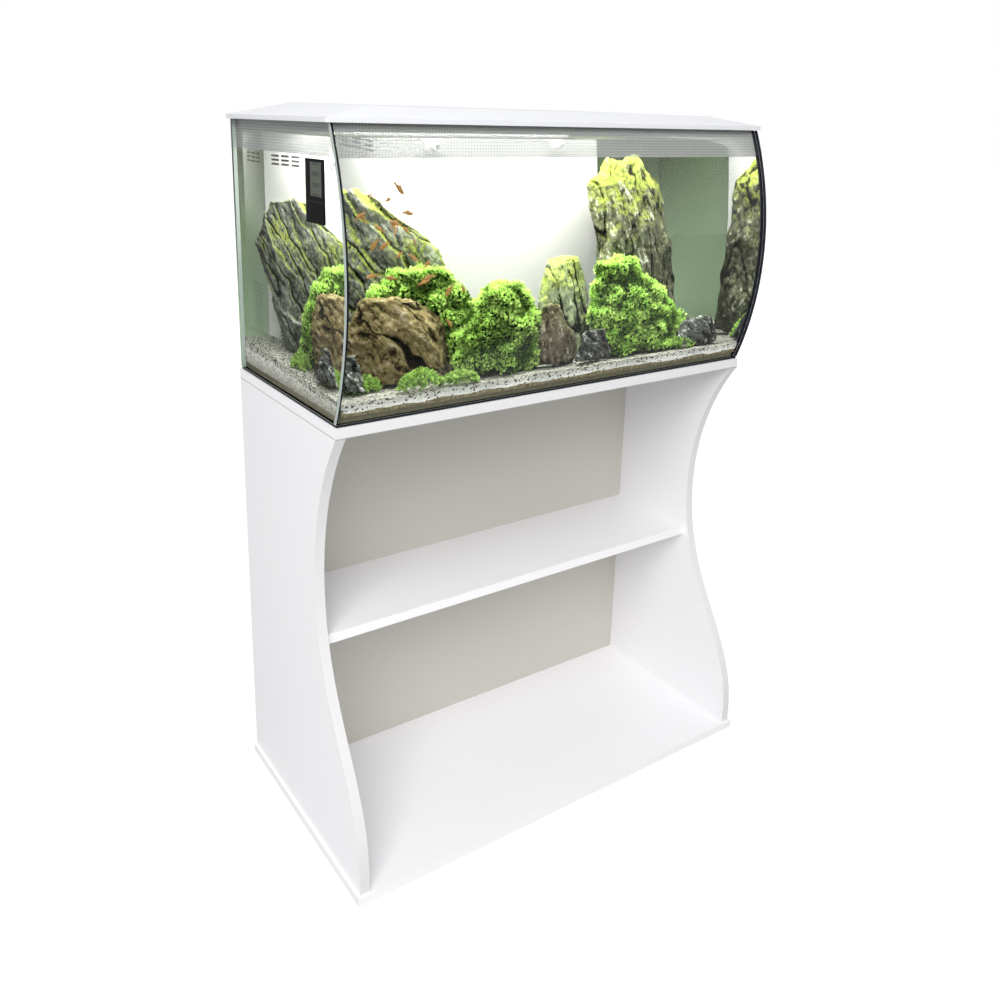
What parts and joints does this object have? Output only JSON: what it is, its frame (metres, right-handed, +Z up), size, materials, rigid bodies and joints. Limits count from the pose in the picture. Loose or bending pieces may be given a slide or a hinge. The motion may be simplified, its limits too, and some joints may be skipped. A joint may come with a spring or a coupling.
{
  "type": "bow-front aquarium on open stand",
  "caption": "Bow-front glass aquarium with planted rock scape, rear filter box and low white hood on an open white stand with wavy side panels and a shelf.",
  "frame": {"origin": "middle of the base plate's underside, on the floor", "axes": "X to the right seen from the front, Y from the bowed front to the back, Z up"},
  "size_m": [0.82, 0.436, 1.182],
  "materials": {
    "white_board": "satin white melamine on particle board",
    "beech": "bare beech dowel",
    "steel": "bright zinc plated",
    "clear_glass": "clear float glass",
    "green_glass": "float glass with a sage backing",
    "black_silicone": "black silicone, satin",
    "black_foam": "black foam mat, matt",
    "dot_film": "printed film of fine pale dots",
    "white_plastic": "white plastic, satin gloss",
    "black_plastic": "black plastic, satin",
    "dark_foam": "open filter foam",
    "carbon_bag": "woven bag of carbon",
    "pale_ceramic": "bare porous ceramic",
    "board_white": "white solder mask",
    "diode": "moulded diode lens",
    "clear_plastic": "clear plastic, polished",
    "display": "grey display, polished",
    "sand": "fine pale sand over brown soil",
    "slate": "layered stone, rough",
    "brown_stone": "veined brown stone, rough",
    "dark_stone": "dark grey stone, rough",
    "moss": "dense moss, leafy"
  },
  "bodies": {
    "stand_and_tank": {"base_plate": "white_board", "left_side_panel": "white_board", "right_side_panel": "white_board", "top_plate": "white_board", "back_panel": "white_board", "shelf": "white_board", "panel_dowels": "beech", "shelf_dowels": "beech", "base_screws": "steel", "top_screws": "steel", "base_mat": "black_foam", "bottom_glass": "clear_glass", "front_glass": "clear_glass", "left_glass": "clear_glass", "right_glass": "clear_glass", "back_glass": "green_glass", "corner_seams": "black_silicone", "bottom_seam": "black_silicone", "dot_band": "dot_film", "filter_housing": "white_plastic", "chamber_dividers": "white_plastic", "intake_foam": "dark_foam", "media_basket": "black_plastic", "carbon_pack": "carbon_bag", "ceramic_rings": "pale_ceramic", "pump_body": "black_plastic", "pump_cover": "black_plastic", "impeller_shaft": "pale_ceramic", "pump_feet": "black_silicone", "return_pipe": "black_plastic", "nozzle_rings": "white_plastic", "thermometer_pad": "black_foam", "thermometer_case": "black_plastic", "thermometer_display": "display", "sand_bed": "sand", "slate_rock": "slate", "brown_boulder": "brown_stone", "corner_rock": "dark_stone", "centre_rock": "dark_stone", "grey_rock": "dark_stone", "monolith_rock": "dark_stone", "small_rocks": "dark_stone", "moss_cushions": "moss"},
    "hood": {"hood_frame": "white_plastic", "hood_cover": "white_plastic", "hood_screws": "steel", "led_housing": "white_plastic", "led_board": "board_white", "led_diodes": "diode", "led_lens": "clear_plastic", "cable_gland": "black_silicone"},
    "flap": {"feeding_flap": "white_plastic"},
    "left_outlet": {"left_nozzle": "white_plastic"},
    "right_outlet": {"right_nozzle": "white_plastic"},
    "pump_rotor": {"impeller": "white_plastic"}
  },
  "joints": [
    {"name": "hood_lift", "type": "slide", "parent": "stand_and_tank", "child": "hood", "axis": [0, 0, 1], "range_m": [0, 0.25]},
    {"name": "flap_hinge", "type": "hinge", "parent": "hood", "child": "flap", "pos_m": [0, -0.00996, 1.1758], "axis": [-1, 0, 0], "range_deg": [0, 100]},
    {"name": "left_nozzle_turn", "type": "hinge", "parent": "stand_and_tank", "child": "left_outlet", "pos_m": [-0.154, 0.0821, 1.0955], "axis": [0, 0, 1], "range_deg": [-25, 25]},
    {"name": "right_nozzle_turn", "type": "hinge", "parent": "stand_and_tank", "child": "right_outlet", "pos_m": [0.086, 0.0821, 1.0955], "axis": [0, 0, 1], "range_deg": [-25, 25]},
    {"name": "impeller_spin", "type": "hinge", "parent": "stand_and_tank", "child": "pump_rotor", "pos_m": [0.086, 0.1116, 0.8003], "axis": [0, 1, 0], "continuous": true}
  ]
}
